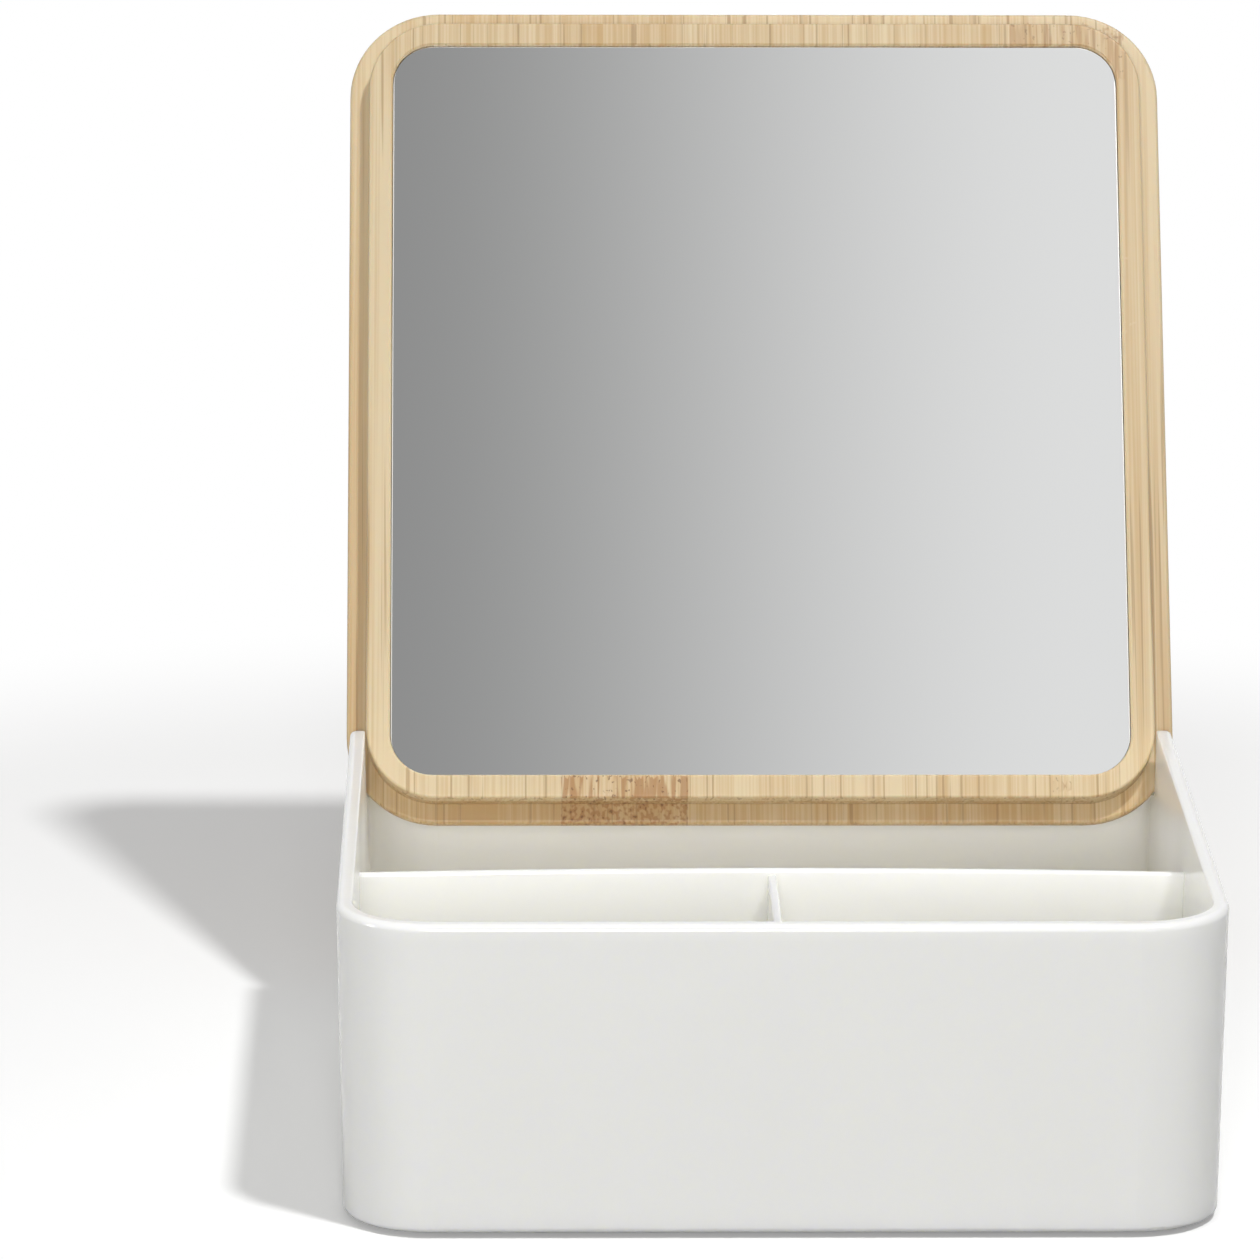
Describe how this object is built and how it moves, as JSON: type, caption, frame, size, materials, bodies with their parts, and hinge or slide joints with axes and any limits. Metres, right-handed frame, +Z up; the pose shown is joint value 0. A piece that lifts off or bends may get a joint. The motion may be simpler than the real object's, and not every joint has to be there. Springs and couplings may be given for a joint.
{
  "type": "vanity box with mirror lid",
  "caption": "Open moulded box with divided compartments and wall notches in which a bamboo lid with an inset mirror stands leaning back.",
  "frame": {"origin": "on the table, under the centre of the box, in the plane of its four feet", "axes": "+Z up, -Y the open front that the mirror faces, +X to the viewer's right"},
  "size_m": [0.1766, 0.243, 0.2041],
  "materials": {
    "white_plastic": "satin moulded, slightly glossy",
    "foot_rubber": "matt grey",
    "bamboo": "sanded bamboo with a thin matt lacquer, grain along the board",
    "silvered_glass": "polished glass, silvered on its back",
    "backing_film": "grey protective film",
    "foam_tape": "white foam"
  },
  "bodies": {
    "box": {"box": "white_plastic", "foot_pads": "foot_rubber"},
    "lid": {"lid_board": "bamboo", "mirror_glass": "silvered_glass", "mirror_backing": "backing_film", "mirror_tape": "foam_tape"}
  },
  "joints": [
    {"name": "lid_lift", "type": "slide", "parent": "box", "child": "lid", "axis": [0, 0.4894, 0.8721], "range_m": [0, 0.06]}
  ]
}
